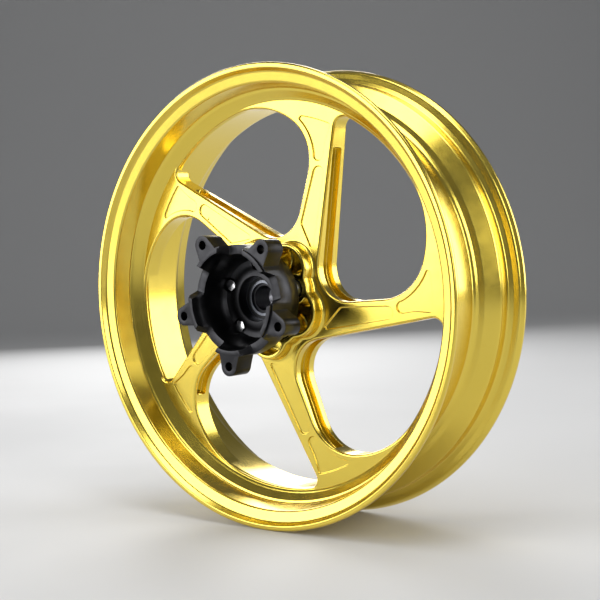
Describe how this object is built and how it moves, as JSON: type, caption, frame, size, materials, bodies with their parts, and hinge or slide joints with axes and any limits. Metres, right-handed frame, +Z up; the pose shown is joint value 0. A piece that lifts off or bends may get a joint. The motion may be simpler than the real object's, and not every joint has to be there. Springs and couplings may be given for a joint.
{
  "type": "motorcycle rear wheel",
  "caption": "Forged spoked wheel rim with hub bearings, cush drive and bolt-on sprocket carrier that spin about a through axle.",
  "frame": {"origin": "on the wheel axis, midway between the rim's two flanges", "axes": "+Y along the wheel axis away from the sprocket carrier, +Z up across the wheel, +X across the wheel"},
  "size_m": [0.4645, 0.169, 0.4646],
  "materials": {
    "gold_anodised": "satin bright gold anodising over forged and milled aluminium",
    "black_anodised": "satin black anodising",
    "bright_bolt": "bright plated steel",
    "black_rubber": "matt moulded rubber",
    "seal_rubber": "smooth bonded rubber",
    "dark_steel": "ground and phosphated steel",
    "cage_steel": "pressed steel",
    "tube_aluminium": "turned aluminium",
    "bearing_steel": "ground bearing steel"
  },
  "bodies": {
    "axle_set": {"distance_tube": "tube_aluminium", "carrier_collar": "black_anodised", "near_inner_race": "bearing_steel", "far_inner_race": "bearing_steel", "carrier_inner_race": "dark_steel"},
    "wheel": {"wheel_forging": "gold_anodised", "bush_rubber_1": "black_rubber", "bush_rubber_2": "black_rubber", "bush_rubber_3": "black_rubber", "bush_rubber_4": "black_rubber", "bush_rubber_5": "black_rubber", "near_outer_race": "bearing_steel", "near_seals": "seal_rubber", "far_outer_race": "bearing_steel", "far_seals": "seal_rubber", "near_circlip": "dark_steel"},
    "carrier": {"sprocket_carrier": "black_anodised", "drive_pins": "dark_steel", "pin_bolts": "bright_bolt", "carrier_outer_race": "dark_steel", "carrier_seals": "seal_rubber", "carrier_circlip": "dark_steel"},
    "near_ball_set": {"near_balls": "bearing_steel", "near_cage": "cage_steel"},
    "far_ball_set": {"far_balls": "bearing_steel", "far_cage": "cage_steel"},
    "carrier_ball_set": {"carrier_balls": "bearing_steel", "carrier_cage": "cage_steel"}
  },
  "joints": [
    {"name": "wheel_spin", "type": "hinge", "parent": "axle_set", "child": "wheel", "pos_m": [0, 0, 0], "axis": [0, 1, 0], "continuous": true},
    {"name": "cush_twist", "type": "hinge", "parent": "wheel", "child": "carrier", "pos_m": [0, 0, 0], "axis": [0, 1, 0], "range_deg": [-1.2, 1.2], "stiffness_Nm_per_rad": 400},
    {"name": "near_ball_spin", "type": "hinge", "parent": "axle_set", "child": "near_ball_set", "pos_m": [0, 0, 0], "axis": [0, 1, 0], "continuous": true},
    {"name": "far_ball_spin", "type": "hinge", "parent": "axle_set", "child": "far_ball_set", "pos_m": [0, 0, 0], "axis": [0, 1, 0], "continuous": true},
    {"name": "carrier_ball_spin", "type": "hinge", "parent": "axle_set", "child": "carrier_ball_set", "pos_m": [0, 0, 0], "axis": [0, 1, 0], "continuous": true}
  ],
  "couplings": [
    {"joint": "near_ball_spin", "follows": "wheel_spin", "ratio": 0.5917},
    {"joint": "far_ball_spin", "follows": "wheel_spin", "ratio": 0.5917},
    {"joint": "carrier_ball_spin", "follows": "wheel_spin", "ratio": 0.5622}
  ]
}
